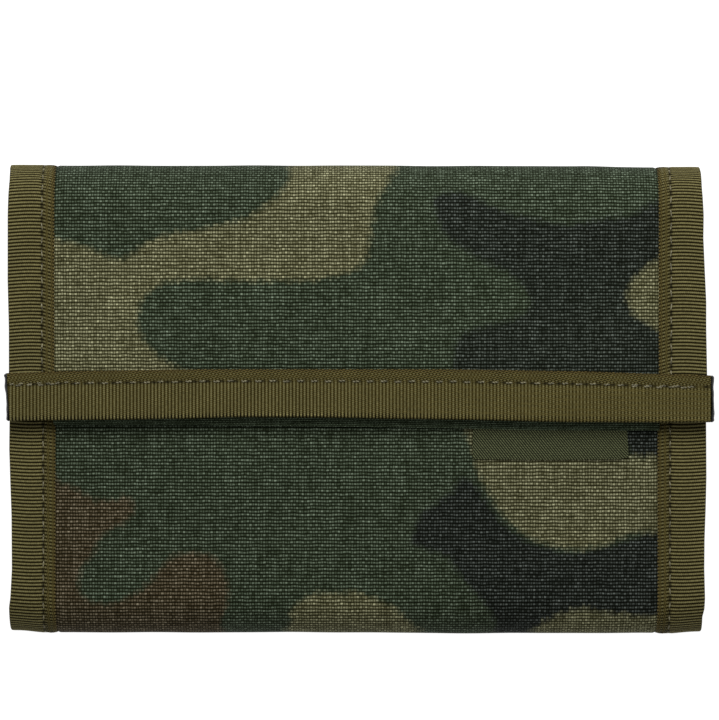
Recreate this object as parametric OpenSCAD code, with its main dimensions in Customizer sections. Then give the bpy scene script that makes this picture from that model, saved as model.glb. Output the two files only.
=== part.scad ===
/* [Wallet] */
// Width of the folded wallet over its side bindings
wallet_w = 130.2; // [125:0.1:140]
// Height of the folded wallet from fold to fold
wallet_h = 87.2; // [84:0.1:95]
// Depth from the back face to the flap's outer face
flap_z = 17.6; // [17.6:0.1:19]
// Depth from the back face to the front panel's outer face
front_z = 13.9; // [13.9:0.1:14.1]

/* [Materials] */
// Thickness of the outer cloth
cloth_t = 0.5; // [0.4:0.05:0.5]
// Thickness of a lining
lining_t = 0.4; // [0.3:0.05:0.4]
// Thickness of the foam in the back
back_foam_t = 1.2; // [1:0.1:1.2]
// Thickness of the woven binding tape
tape_t = 0.45; // [0.4:0.05:0.45]
// Visible width of the side bindings
binding_w = 8.7; // [7:0.1:10]

/* [Folds] */
// Angle left free at each end of a fold's arc, so that it can swing
fold_start = 15; // [15:1:20]
// Gap between a fold's arc and the layers beside it
fold_gap = 0.4; // [0.4:0.05:0.6]

/* [Flap] */
// Height of the flap's free edge above the wallet's middle
flap_edge_y = -4; // [-6:0.1:-3]
// Width of the binding along the flap's edge
edge_binding_w = 9.2; // [8:0.1:10]
// Length of the binding along the flap's edge
edge_binding_l = 132.4; // [132:0.1:142]
// Width of the loop tape
loop_w = 20; // [15:1:20]
// Thickness of the loop tape
loop_t = 0.8; // [0.6:0.1:0.8]
// Length of the hook and loop tapes
closure_l = 100; // [60:1:104]

/* [Closure tongue] */
// Height of the tongue's top edge above the wallet's middle
tongue_top_y = 22; // [20:1:24]
// How far the tongue's hem shows below the flap's edge
hem_show = 1.7; // [1:0.1:2]
// Thickness of the tongue's folded hem
hem_t = 0.7; // [0.6:0.1:0.7]
// Thickness of the hook tape
hook_t = 0.6; // [0.5:0.1:0.6]
// Width of the hook tape
hook_w = 18; // [12:1:18]

/* [Woven label] */
// Length of the label
label_l = 29; // [15:1:35]
// Height of the label below the hem
label_h = 5.6; // [4:0.1:8]
// Distance of the label's middle from the wallet's middle
label_x = 36.3; // [-36:0.1:37]
// Thickness of the label
label_t = 0.3; // [0.2:0.05:0.3]

/* [Card pockets] */
// Width of the stack of card pockets
card_stack_w = 94; // [92:1:100]
// Step between the mouths of two neighbouring card pockets
card_step = 10; // [8:1:11]
// Height of the front card pocket's mouth above the wallet's middle
card_mouth_y = 4; // [0:1:6]
// Distance between the faces of two neighbouring pockets
card_pitch = 1.3; // [1.1:0.05:1.3]
// Width of the stack's side and bottom tapes
card_tape_w = 2; // [1.5:0.1:3]
// Width of the clear window
window_w = 66; // [50:1:70]
// Height of the clear window
window_h = 24; // [18:1:26]
// Thickness of the clear film
film_t = 0.2; // [0.15:0.05:0.2]

/* [Note pocket] */
// Room for banknotes between the lining and the pocket's wall
note_gap = 0.8; // [0.6:0.1:0.8]
// Distance from the pocket's open side to the right-hand edge
note_mouth = 6; // [5:0.5:8]

/* [Coin pocket] */
// Height of the zip above the wallet's middle
zip_y = -13; // [-14:0.5:-13]
// Length of the zip between its stops
zip_l = 94; // [70:1:96]
// Height of the slot that the zip closes
zip_slot_h = 6; // [6:0.1:7]
// Width of each zip tape
zip_tape_w = 7.5; // [6:0.1:7.5]
// Width of each row of coil teeth
coil_w = 1.25; // [1:0.05:1.25]
// Height of the coil teeth
coil_h = 1; // [0.8:0.1:1]
// Length of the zip slider
slider_l = 9; // [8:0.5:10]
// Length of the ribbon on the slider
ribbon_l = 14; // [8:1:16]

/* [Hidden] */

$fn = 64;

// Colours of the pieces
cloth_green = [0.24, 0.27, 0.18];
tape_olive = [0.30, 0.31, 0.24];
lining_black = [0.09, 0.10, 0.09];
hook_green = [0.20, 0.22, 0.16];
foam_grey = [0.45, 0.46, 0.44];
film_clear = [0.80, 0.86, 0.88, 0.35];
zip_black = [0.07, 0.07, 0.07];
slider_metal = [0.35, 0.35, 0.34];

// Side edges: where the bindings start, and where the cloth ends inside them
half_w = wallet_w / 2;
half_h = wallet_h / 2;
inner_w = half_w - binding_w;
cloth_edge = half_w - tape_t;
joggle_w = 1;

// Depths of the layers behind an outer face
lining_depth = tape_t + cloth_t;
wall_depth = lining_depth + lining_t;
bound_depth = wall_depth + tape_t;

// Folds: half-round, with the layers beside them ending clear of their swing
top_fold_r = flap_z / 2;
bottom_fold_r = front_z / 2;
function fold_reach(r) = r - (r - bound_depth) * sin(fold_start) + fold_gap;
top_end_y = half_h - fold_reach(top_fold_r);
bottom_end_y = -half_h + fold_reach(bottom_fold_r);

// Back: lining over the foam, then the note pocket, then the card pockets
back_lining_z = cloth_t + back_foam_t;
note_wall_z = back_lining_z + lining_t + note_gap;
cards_z = note_wall_z + lining_t;
note_mouth_x = half_w - note_mouth;
trim_t = 0.2;
trim_h = 6;
card_bottom_y = bottom_end_y + 1;
card_in_w = card_stack_w / 2 - card_tape_w;
card_levels = 3;
function pocket_z(level) = cards_z + card_pitch * level - lining_t;
function pocket_mouth(level) = card_mouth_y + card_step * (card_levels - level);
cards_top_z = pocket_z(card_levels) + lining_t;
window_margin = 4;
window_y0 = card_bottom_y + card_tape_w + window_margin;
window_y = [window_y0, window_y0 + window_h];
film_lap = 2;

// Flap: its edge binding wraps the cloth, the lining and the side bindings
flap_cut_y = flap_edge_y + tape_t;
flap_in_z = flap_z - bound_depth;
edge_binding_inner_w = edge_binding_w - 0.3;
loop_y = flap_edge_y + edge_binding_w + 0.8;

// Front panel and the soft tongue that carries on from it under the flap
front_top_y = flap_edge_y - 0.6;
hem_y = flap_edge_y - hem_show;
hook_y = flap_edge_y + 4;
tongue_binding_h = 4;

// Coin pocket on the front panel's inner face
coin_wall_z = front_z - 3.1;
zip_tape_z = coin_wall_z + lining_t;
zip_gap = 0.75;
slider_clear = 0.2;
slider_plate_t = 0.6;
slider_w = 5.6;
slider_post_w = 1;
slider_back_z = zip_tape_z + lining_t + slider_clear;
slider_face_z = zip_tape_z - coil_h - slider_clear - slider_plate_t;
slider_x = zip_l / 2 - slider_l / 2 - 0.5;
bridge_h = 0.7;
bridge_t = 0.3;
ribbon_w = 3.6;
ribbon_t = 0.5;

// A rectangle and a block, each between two values on every axis
module rect(x, y) {
    translate([x[0], y[0]]) square([x[1] - x[0], y[1] - y[0]]);
}
module slab(x, y, z) {
    translate([x[0], y[0], z[0]]) cube([x[1] - x[0], y[1] - y[0], z[1] - z[0]]);
}
module left() {
    mirror([1, 0, 0]) children();
}

// Cross sections, looking along the cloth: X across the wallet, 0 on the outer face, inwards is minus
module cloth_section() {
    rect([-inner_w, inner_w], [-cloth_t, 0]);
    for (side = [0, 1]) mirror([side, 0]) {
        rect([inner_w - joggle_w, inner_w], [-lining_depth, 0]);
        rect([inner_w - joggle_w, cloth_edge], [-lining_depth, -tape_t]);
    }
}
module lining_section() {
    rect([-cloth_edge, cloth_edge], [-wall_depth, -lining_depth]);
}
module padding_section(depth) {
    rect([joggle_w - inner_w, inner_w - joggle_w], [-depth, -cloth_t]);
}
module binding_section(depth) {
    difference() {
        rect([inner_w, half_w], [-depth, 0]);
        rect([inner_w - 1, cloth_edge], [tape_t - depth, -tape_t]);
    }
}

// Runs a cross section along Y with its outer face up at height z
module panel(y, z) {
    translate([0, y[1], z]) rotate([90, 0, 0]) linear_extrude(y[1] - y[0]) children();
}
// Runs a cross section along Y with its outer face down on the ground
module back_panel(y) {
    mirror([0, 0, 1]) panel(y, 0) children();
}
// Bends a cross section round the fold at the top
module fold(r) {
    translate([0, half_h - r, r]) rotate([0, 90, 0]) rotate([0, 0, fold_start])
        rotate_extrude(angle = 180 - 2 * fold_start)
            translate([r, 0]) mirror([1, 0]) rotate(90) children();
}
module top_fold() {
    fold(top_fold_r) children();
}
module bottom_fold() {
    mirror([0, 1, 0]) fold(bottom_fold_r) children();
}

// Back panel
module back_shell() {
    color(cloth_green) back_panel([bottom_end_y, top_end_y]) cloth_section();
}
module back_padding() {
    color(foam_grey) back_panel([bottom_end_y, top_end_y]) padding_section(back_lining_z);
}
module back_lining() {
    color(lining_black) slab([-cloth_edge, cloth_edge], [bottom_end_y, top_end_y],
        [back_lining_z, back_lining_z + lining_t]);
}
module back_binding_left() {
    color(tape_olive) left() back_panel([bottom_end_y, top_end_y])
        binding_section(note_wall_z + lining_t + tape_t);
}
module back_binding_right() {
    color(tape_olive) back_panel([bottom_end_y, top_end_y])
        binding_section(back_lining_z + lining_t + tape_t);
}

// Note pocket: bound in at the left, open at the right
module note_pocket_wall() {
    color(lining_black) slab([-cloth_edge, note_mouth_x - trim_t], [bottom_end_y, top_end_y],
        [note_wall_z, note_wall_z + lining_t]);
}
module note_pocket_trim() {
    color(tape_olive) difference() {
        slab([note_mouth_x - trim_h, note_mouth_x], [bottom_end_y, top_end_y],
            [note_wall_z - trim_t, note_wall_z + lining_t + trim_t]);
        slab([note_mouth_x - trim_h - 1, note_mouth_x - trim_t],
            [bottom_end_y - 1, top_end_y + 1], [note_wall_z, note_wall_z + lining_t]);
    }
}

// Card pockets, counted from the rear: each mouth is a step lower and a pitch nearer the front
module card_pocket(level) {
    color(lining_black) slab([-card_in_w, card_in_w],
        [card_bottom_y + card_tape_w, pocket_mouth(level) - trim_t],
        [pocket_z(level), pocket_z(level) + lining_t]);
}
module card_trim(level) {
    mouth = pocket_mouth(level);
    z = pocket_z(level);
    color(tape_olive) difference() {
        slab([-card_in_w, card_in_w], [mouth - trim_h, mouth], [z - trim_t, z + lining_t + trim_t]);
        slab([-card_in_w - 1, card_in_w + 1], [mouth - trim_h - 1, mouth - trim_t],
            [z, z + lining_t]);
    }
}
module card_pocket_rear() {
    card_pocket(1);
}
module card_pocket_middle() {
    card_pocket(2);
}
module card_pocket_front() {
    difference() {
        card_pocket(card_levels);
        slab([-window_w / 2, window_w / 2], window_y, [pocket_z(card_levels) - 1, pocket_z(card_levels) + 1]);
    }
}
module card_trim_rear() {
    card_trim(1);
}
module card_trim_middle() {
    card_trim(2);
}
module card_trim_front() {
    card_trim(card_levels);
}
module id_window() {
    color(film_clear) slab([-window_w / 2 - film_lap, window_w / 2 + film_lap],
        [window_y[0] - film_lap, window_y[1] + film_lap], [pocket_z(card_levels) - film_t, pocket_z(card_levels)]);
}
module card_tape_right() {
    color(tape_olive) slab([card_in_w, card_stack_w / 2],
        [card_bottom_y + card_tape_w, pocket_mouth(1)], [cards_z, cards_top_z]);
}
module card_tape_left() {
    left() card_tape_right();
}
module card_tape_bottom() {
    color(tape_olive) slab([-card_stack_w / 2, card_stack_w / 2],
        [card_bottom_y, card_bottom_y + card_tape_w], [cards_z, cards_top_z]);
}

// Top fold
module top_fold_shell() {
    color(cloth_green) top_fold() cloth_section();
}
module top_fold_lining() {
    color(lining_black) top_fold() lining_section();
}
module top_fold_binding_right() {
    color(tape_olive) top_fold() binding_section(bound_depth);
}
module top_fold_binding_left() {
    left() top_fold_binding_right();
}

// Flap
module flap_shell() {
    color(cloth_green) panel([flap_cut_y, top_end_y], flap_z) cloth_section();
}
module flap_padding() {
    color(foam_grey) panel([flap_cut_y, top_end_y], flap_z) padding_section(lining_depth);
}
module flap_lining() {
    color(lining_black) panel([flap_cut_y, top_end_y], flap_z) lining_section();
}
module flap_binding_right() {
    color(tape_olive) panel([flap_cut_y, top_end_y], flap_z) binding_section(bound_depth);
}
module flap_binding_left() {
    left() flap_binding_right();
}
module flap_edge_binding() {
    l = edge_binding_l / 2;
    color(tape_olive) difference() {
        slab([-l, l], [flap_edge_y, flap_edge_y + edge_binding_w],
            [flap_in_z - tape_t, flap_z + tape_t]);
        slab([-l - 1, l + 1], [flap_cut_y, flap_edge_y + edge_binding_w + 1], [flap_in_z, flap_z]);
        slab([-l - 1, l + 1],
            [flap_edge_y + edge_binding_inner_w, flap_edge_y + edge_binding_w + 1],
            [flap_in_z - tape_t - 1, flap_in_z]);
    }
}
module loop_tape() {
    color(hook_green) slab([-closure_l / 2, closure_l / 2], [loop_y, loop_y + loop_w],
        [flap_z - wall_depth - loop_t, flap_z - wall_depth]);
}

// Bottom fold
module bottom_fold_shell() {
    color(cloth_green) bottom_fold() cloth_section();
}
module bottom_fold_lining() {
    color(lining_black) bottom_fold() lining_section();
}
module bottom_fold_binding_right() {
    color(tape_olive) bottom_fold() binding_section(bound_depth);
}
module bottom_fold_binding_left() {
    left() bottom_fold_binding_right();
}

// Front panel
module front_shell() {
    color(cloth_green) panel([bottom_end_y, front_top_y], front_z) cloth_section();
}
module front_padding() {
    color(foam_grey) panel([bottom_end_y, front_top_y], front_z) padding_section(lining_depth);
}
module front_lining() {
    color(lining_black) panel([bottom_end_y, front_top_y], front_z) lining_section();
}
module front_binding_right() {
    color(tape_olive) panel([bottom_end_y, front_top_y], front_z)
        binding_section(front_z - coin_wall_z + tape_t);
}
module front_binding_left() {
    left() front_binding_right();
}
module woven_label() {
    color(hook_green) slab([label_x - label_l / 2, label_x + label_l / 2],
        [hem_y - label_h, front_top_y], [front_z, front_z + label_t]);
}

// Tongue: the front panel's soft top, tucked under the flap
module tongue_shell() {
    color(cloth_green) slab([-inner_w, inner_w], [front_top_y, tongue_top_y],
        [front_z - cloth_t, front_z]);
}
module tongue_lining() {
    color(lining_black) slab([-inner_w, inner_w], [front_top_y, tongue_top_y],
        [front_z - lining_depth, front_z - cloth_t]);
}
module tongue_hem() {
    color(cloth_green) difference() {
        slab([-inner_w, inner_w], [hem_y, tongue_top_y], [front_z, front_z + hem_t]);
        slab([label_x - label_l / 2, label_x + label_l / 2], [hem_y - 1, front_top_y],
            [front_z - 1, front_z + label_t]);
    }
}
module tongue_binding() {
    z = [front_z - lining_depth - tape_t, front_z + hem_t + tape_t];
    color(tape_olive) difference() {
        slab([-inner_w, inner_w], [tongue_top_y - tongue_binding_h, tongue_top_y + tape_t], z);
        slab([-inner_w - 1, inner_w + 1], [tongue_top_y - tongue_binding_h - 1, tongue_top_y],
            [z[0] + tape_t, z[1] - tape_t]);
    }
}
module hook_tape() {
    color(hook_green) slab([-closure_l / 2, closure_l / 2], [hook_y, hook_y + hook_w],
        [front_z + hem_t, front_z + hem_t + hook_t]);
}

// Coin pocket: two walls, and the zip between them
module coin_wall_upper() {
    color(lining_black) slab([-cloth_edge, cloth_edge], [zip_y + zip_slot_h / 2, front_top_y],
        [coin_wall_z, zip_tape_z]);
}
module coin_wall_lower() {
    color(lining_black) difference() {
        slab([-cloth_edge, cloth_edge], [bottom_end_y, zip_y + zip_slot_h / 2],
            [coin_wall_z, zip_tape_z]);
        slab([-zip_l / 2 - 2, zip_l / 2 + 2],
            [zip_y - zip_slot_h / 2, zip_y + zip_slot_h / 2 + 1],
            [coin_wall_z - 1, zip_tape_z + 1]);
    }
}
module zip_tape_upper() {
    color(zip_black) slab([-zip_l / 2 - 4, zip_l / 2 + 4], [zip_y + zip_gap, zip_y + zip_tape_w],
        [zip_tape_z, zip_tape_z + lining_t]);
}
module zip_tape_lower() {
    translate([0, 2 * zip_y, 0]) mirror([0, 1, 0]) zip_tape_upper();
}
module zip_coil_upper() {
    color(zip_black) slab([-zip_l / 2, zip_l / 2], [zip_y + zip_gap, zip_y + zip_gap + coil_w],
        [zip_tape_z - coil_h, zip_tape_z]);
}
module zip_coil_lower() {
    translate([0, 2 * zip_y, 0]) mirror([0, 1, 0]) zip_coil_upper();
}
module zip_stop_closed() {
    reach = zip_gap + coil_w;
    color(slider_metal) slab([zip_l / 2, zip_l / 2 + 1.5], [zip_y - reach, zip_y + reach],
        [zip_tape_z - coil_h, zip_tape_z]);
}
module zip_stop_open() {
    left() zip_stop_closed();
}
module zip_slider() {
    w = slider_w / 2;
    x = [slider_x - slider_l / 2, slider_x + slider_l / 2];
    color(slider_metal) {
        slab(x, [zip_y - w, zip_y + w], [slider_face_z, slider_face_z + slider_plate_t]);
        slab(x, [zip_y - w, zip_y + w], [slider_back_z, slider_back_z + slider_plate_t]);
        slab([x[1] - 3, x[1] - 1], [zip_y - slider_post_w / 2, zip_y + slider_post_w / 2],
            [slider_face_z, slider_back_z + slider_plate_t]);
        for (side = [0, 1]) translate([0, 2 * zip_y * side, 0]) mirror([0, side, 0])
            slab([slider_x - 1.5, slider_x + 1.5], [zip_y + w - 0.7, zip_y + w],
                [slider_face_z - bridge_h - bridge_t, slider_face_z]);
        slab([slider_x - 1.5, slider_x + 1.5], [zip_y - w, zip_y + w],
            [slider_face_z - bridge_h - bridge_t, slider_face_z - bridge_h]);
    }
}
module zip_ribbon() {
    z = slider_face_z - (bridge_h + ribbon_t) / 2;
    color(tape_olive) slab([slider_x + 2 - ribbon_l, slider_x + 2],
        [zip_y - ribbon_w / 2, zip_y + ribbon_w / 2], [z, z + ribbon_t]);
}

back_shell();
back_padding();
back_lining();
back_binding_left();
back_binding_right();
note_pocket_wall();
note_pocket_trim();
card_pocket_rear();
card_pocket_middle();
card_pocket_front();
card_trim_rear();
card_trim_middle();
card_trim_front();
card_tape_left();
card_tape_right();
card_tape_bottom();
id_window();
top_fold_shell();
top_fold_lining();
top_fold_binding_left();
top_fold_binding_right();
flap_shell();
flap_padding();
flap_lining();
flap_binding_left();
flap_binding_right();
flap_edge_binding();
loop_tape();
bottom_fold_shell();
bottom_fold_lining();
bottom_fold_binding_left();
bottom_fold_binding_right();
front_shell();
front_padding();
front_lining();
front_binding_left();
front_binding_right();
woven_label();
tongue_shell();
tongue_lining();
tongue_hem();
tongue_binding();
hook_tape();
coin_wall_upper();
coin_wall_lower();
zip_tape_upper();
zip_tape_lower();
zip_coil_upper();
zip_coil_lower();
zip_stop_closed();
zip_stop_open();
zip_slider();
zip_ribbon();
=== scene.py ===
"""Trifold wallet of camouflage cloth with taped edges, lying closed on its back."""

import math

import bpy
import numpy as np
from bpy.props import FloatProperty, FloatVectorProperty, PointerProperty
from bpy.types import Operator, Panel, PropertyGroup
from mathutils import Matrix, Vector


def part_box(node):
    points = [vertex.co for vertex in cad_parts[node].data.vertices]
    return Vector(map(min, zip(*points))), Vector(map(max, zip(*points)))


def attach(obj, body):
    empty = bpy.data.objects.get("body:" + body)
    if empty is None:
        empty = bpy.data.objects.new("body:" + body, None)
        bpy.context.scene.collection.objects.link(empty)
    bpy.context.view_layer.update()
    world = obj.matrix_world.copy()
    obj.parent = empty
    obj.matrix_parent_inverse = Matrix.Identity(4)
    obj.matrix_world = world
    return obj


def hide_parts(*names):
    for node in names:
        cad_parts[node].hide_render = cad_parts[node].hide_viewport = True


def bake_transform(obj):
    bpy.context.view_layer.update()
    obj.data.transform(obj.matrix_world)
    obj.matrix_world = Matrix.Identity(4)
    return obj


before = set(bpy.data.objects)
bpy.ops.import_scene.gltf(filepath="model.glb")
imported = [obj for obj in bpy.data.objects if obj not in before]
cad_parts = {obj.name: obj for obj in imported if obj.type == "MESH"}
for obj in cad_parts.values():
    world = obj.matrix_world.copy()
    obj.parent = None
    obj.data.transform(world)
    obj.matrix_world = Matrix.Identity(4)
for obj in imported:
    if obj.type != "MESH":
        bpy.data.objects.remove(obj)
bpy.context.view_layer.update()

bl_info = {
    "name": "Trifold wallet",
    "version": (1, 0, 0),
    "blender": (4, 5, 0),
    "location": "View3D > Sidebar > Wallet",
    "description": "Builds a cloth trifold wallet round its packed frame",
    "category": "Object",
}

MM = 0.001


# ---------------------------------------------------------------- the frame's own places


def low(node):
    """The lowest corner of a frame node."""
    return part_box(node)[0]


def high(node):
    """The highest corner of a frame node."""
    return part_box(node)[1]


HALF_W = high("back_binding_right").x
HALF_H = high("top_fold_shell").y
TAPE_X = low("back_binding_right").x
TAPE_T = high("flap_edge_binding").z - high("flap_shell").z
FLAP_Z = high("flap_shell").z
FRONT_Z = high("front_shell").z
STRIP_LOW = low("flap_edge_binding")
STRIP_HIGH = high("flap_edge_binding")
HEM_Z = high("tongue_hem").z
FRONT_TOP = high("front_shell").y
# Where the sewing line runs, as a distance in from the tape's inner edge
SEW_IN = 2.3 * MM
# How far the outer cloth reaches under the side tapes
UNDER_TAPE = 5 * MM
# Thickness of the woven tape, and of the lining and the hem's cloth
TAPE_SHEET = 0.35 * MM
LINING_SHEET = 0.3 * MM
# Rows of points along a tape for each of its ribs
ROWS_PER_RIB = 4
# Edges that turn more than this stay sharp
SHARP_ANGLE = math.radians(50)


class Run:
    """A stretch of the wallet from the middle of a fold out along one of the two panels it joins."""

    def __init__(self, name, radius, top, front, bodies, end_y, tape_depth, chart):
        self.name = name
        self.radius = radius
        self.side = 1 if top else -1
        self.up = 1 if front else -1
        self.bodies = bodies
        self.arc = radius * math.pi / 2
        self.length = self.arc + HALF_H - radius - self.side * end_y
        self.tape_depth = tape_depth
        self.chart = chart

    def place(self, along, depth):
        """(y, z) of a point that far along from the middle of the fold and that deep under the face."""
        angle = np.clip(along / self.radius, 0, math.pi / 2)
        reach = self.radius - depth
        past = np.maximum(along - self.arc, 0)
        y = HALF_H - self.radius + reach * np.cos(angle) - past
        z = self.radius + self.up * reach * np.sin(angle)
        return self.side * y, z

    def proud(self, x, along):
        """How far the fold stands out past its frame along Y, at its corners and between them."""
        fade = 1 - smooth_step(along / (self.arc + 2 * MM))
        bump = 0.07 * MM * wander(x / (23 * MM), 1.0 if self.side > 0 else 2.5)
        if self.side > 0:
            right = 0.12 * MM * smooth_step(x / (70 * MM) + 0.2)
            corner = 0.22 * MM * smooth_step((x - 42 * MM) / (8 * MM))
            return fade * (bump + 0.26 * MM - right - corner)
        right = 0.15 * MM * smooth_step(x / (30 * MM) + 0.3)
        corner = 0.45 * MM * smooth_step((np.abs(x) - 58 * MM) / (6 * MM))
        return -fade * (bump + 0.62 * MM + right - corner)

    def along(self, y):
        """How far along a place on the flat of the panel is."""
        return self.arc + HALF_H - self.radius - self.side * y

    def tape_fold(self, along):
        """Depth that the side tape wraps: the fold's thin wall, then the panel's own."""
        wall = high("flap_binding_left").z - low("flap_binding_left").z
        share = smooth_step((along - self.arc + 4.5 * MM) / (4 * MM))
        deep_left, deep_right = self.tape_depth
        return wall + (deep_left - wall) * share, wall + (deep_right - wall) * share

    def cloth_v(self, along):
        """The place along the one long piece of outer cloth, so that weave and print run on."""
        start, direction = self.chart
        return start + direction * along

    def nodes(self, kind):
        """The nodes of this kind that the run stands for: its panel's and its fold's."""
        panel = "back" if self.up < 0 else self.name
        fold = "top_fold" if self.side > 0 else "bottom_fold"
        return f"{panel}_{kind}", f"{fold}_{kind}"

    def bend(self, piece):
        """Bakes the piece's transform into its points."""
        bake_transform(piece)


def depth_of(node):
    """Thickness of a frame node."""
    return high(node).z - low(node).z


TOP_R = FLAP_Z / 2
BOTTOM_R = FRONT_Z / 2
BACK_CLOTH = (TOP_R + BOTTOM_R) * math.pi / 2 + 2 * HALF_H - TOP_R - BOTTOM_R
FLAP_TAPE = (depth_of("flap_binding_left"), depth_of("flap_binding_right"))
FRONT_TAPE = (depth_of("front_binding_left"), depth_of("front_binding_right"))
BACK_TAPE = (depth_of("back_binding_left"), depth_of("back_binding_right"))
# How far short of its frame node the flap's cloth ends, under the edge strip
FLAP_SHORT = 2.4 * MM
RUNS = {
    "flap": Run(
        "flap", TOP_R, True, True, ("top_fold", "flap"), low("flap_shell").y + FLAP_SHORT,
        FLAP_TAPE, (0, -1),
    ),
    "front": Run(
        "front", BOTTOM_R, False, True, ("bottom_fold", "front"), FRONT_TOP, FRONT_TAPE,
        (BACK_CLOTH, 1),
    ),
    "back_upper": Run(
        "back_upper", TOP_R, True, False, ("back", "top_fold"), 0, BACK_TAPE, (0, 1)
    ),
    "back_lower": Run(
        "back_lower", BOTTOM_R, False, False, ("back", "bottom_fold"), 0, BACK_TAPE,
        (BACK_CLOTH, -1),
    ),
}


# ---------------------------------------------------------------- settings


def length(name, description, default):
    """A length setting, its default in millimetres."""
    return FloatProperty(
        name=name, description=description, default=default * MM, unit="LENGTH", precision=6
    )


def tint(name, description, default):
    """A colour setting."""
    return FloatVectorProperty(name=name, description=description, subtype="COLOR", default=default)


class WalletSizes(PropertyGroup):
    """Sizes of the cloth, the tape and the thread."""

    warp_pitch: length("Warp pitch", "Distance between warp threads", 0.516)
    weft_pitch: length("Weft pitch", "Distance between weft threads", 0.64)
    rib_pitch: length("Rib pitch", "Distance between the tape's ribs", 0.645)
    rib_height: length("Rib height", "Height of the tape's ribs", 0.11)
    stitch_pitch: length("Stitch pitch", "Distance between stitches", 2.5)
    thread_radius: length("Thread radius", "Half the thread's thickness", 0.12)
    cloth_thickness: length("Cloth thickness", "Thickness of the outer cloth", 0.35)
    crown: length("Crown", "How far a panel swells between its tapes", 0.35)


class WalletColours(PropertyGroup):
    """Colours of the cloth print, the tape and the linings."""

    green: tint("Green", "Ground colour of the print", (0.0262, 0.0365, 0.0205))
    tan: tint("Tan", "Light patches of the print", (0.086, 0.084, 0.043))
    black: tint("Black", "Dark patches of the print", (0.0105, 0.0132, 0.0102))
    brown: tint("Brown", "Brown patches of the print", (0.043, 0.033, 0.0165))
    tape: tint("Tape", "The woven binding tape", (0.071, 0.066, 0.030))
    thread: tint("Thread", "The sewing thread", (0.15, 0.138, 0.085))
    label: tint("Label", "The woven label", (0.042, 0.047, 0.021))
    lining: tint("Lining", "The lining and the pockets", (0.020, 0.022, 0.018))


# ---------------------------------------------------------------- print of the cloth

# Outlines of the print's patches, in millimetres on the closed wallet's face: X to the right and
# Y up from its middle. Each is a closed curve through its points.
FLAP_PATCHES = {
    "tan": [
        [
            (-60, 28.5), (-55, 29.4), (-52, 28.8), (-49, 27.7), (-45, 26), (-41.5, 27.3),
            (-38.5, 29.4), (-34, 30.8), (-29, 31.6), (-24.7, 32.6), (-20.6, 33.6), (-17, 36.1),
            (-14, 38.6), (-12.5, 41.6), (-11.5, 45), (-2, 47), (7, 45), (6.3, 41), (3.9, 37),
            (2.8, 33), (2.5, 29), (1.6, 25.8), (-1.6, 23.5), (-8, 22.2), (-12.5, 22), (-20, 22),
            (-28, 22.2), (-34, 22), (-37.9, 20.6), (-40.5, 17.3), (-40.7, 13), (-38, 9),
            (-34, 6), (-29, 3.5), (-33, 0), (-48, -1), (-60, 0),
        ],
        [
            (57, 25.5), (54, 24.5), (51.5, 22), (50.5, 19.5), (51, 16.5), (53.5, 14.5),
            (57, 13.5),
        ],
    ],
    "black": [
        [
            (15, 37.5), (17.5, 38.5), (21, 38), (25, 36), (29, 34.5), (33.5, 33.5),
            (39, 32.5), (45.5, 33.5), (51, 34), (58, 34.5), (59, 0), (38, 0), (23, 0.5),
            (19, 2.5), (18, 6), (18.5, 10), (20.5, 12.5), (24, 13.5), (28, 14.5),
            (31.5, 16), (32.5, 18.5), (31, 21), (28, 23.5), (24, 25.5), (20, 28),
            (17, 30), (15.5, 32.5), (14.5, 36),
        ],
    ],
    "brown": [],
}
FRONT_PATCHES = {
    "tan": [
        [
            (20.5, -4), (21.5, -9), (22.6, -13.5), (25, -18), (28, -22.2),
            (32, -25.6), (36, -27.3), (41, -28.1), (45.5, -27.6), (50, -25.8), (54, -24.8),
            (57, -24.5), (57, -12), (53, -11), (45, -10.5), (38, -9.5), (30, -5),
        ],
        [
            (33.3, -45), (34.8, -42.4), (37.2, -41), (39.5, -40), (42, -39.5), (45.5, -39.9),
            (49.5, -40.4), (54, -40.9), (57, -41.3), (57, -46), (45, -47),
        ],
        [
            (-13.5, -46), (-12.5, -42.5), (-12, -39.5), (-9.5, -37.5), (-6.5, -36.5),
            (-3, -36.5), (0.5, -36.5), (3.5, -37.5), (6.5, -39), (9, -41), (11, -43),
            (13, -46), (0, -48),
        ],
    ],
    "black": [
        [
            (58, -5), (53, -5), (50.5, -6.5), (50.5, -9), (52, -11), (55, -11.5),
            (58, -11),
        ],
        [
            (19.5, -15), (18, -17.5), (15, -19.5), (12, -22), (10.5, -25.5), (11, -27.5),
            (14, -28.5), (17, -29.5), (19, -32.5), (21.5, -35.5), (24, -38.5),
            (26, -42), (27.5, -46), (42, -48), (58, -46), (58, -25), (53, -26),
            (48, -27.5), (43.5, -28.5), (40, -29), (36, -28), (31.5, -26.5),
            (27.5, -23.5), (24.5, -19.5), (22, -16),
        ],
    ],
    "brown": [
        [
            (-60, -16), (-55, -16), (-51.5, -17.5), (-49, -19), (-46, -19),
            (-43.5, -18.5), (-42, -19.5), (-42, -21.5), (-44, -23.5), (-47, -25),
            (-48.5, -27), (-49.5, -29.5), (-51, -31), (-52, -33), (-52, -36),
            (-51, -37.5), (-48, -38.5), (-44.5, -38), (-40.5, -36), (-37.5, -33),
            (-35, -30), (-32, -29), (-29, -29), (-26, -30.5), (-24.5, -33.5),
            (-24, -36.5), (-24.5, -39), (-25.5, -42.5), (-26, -46), (-43, -48),
            (-60, -46),
        ],
    ],
}
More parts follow.
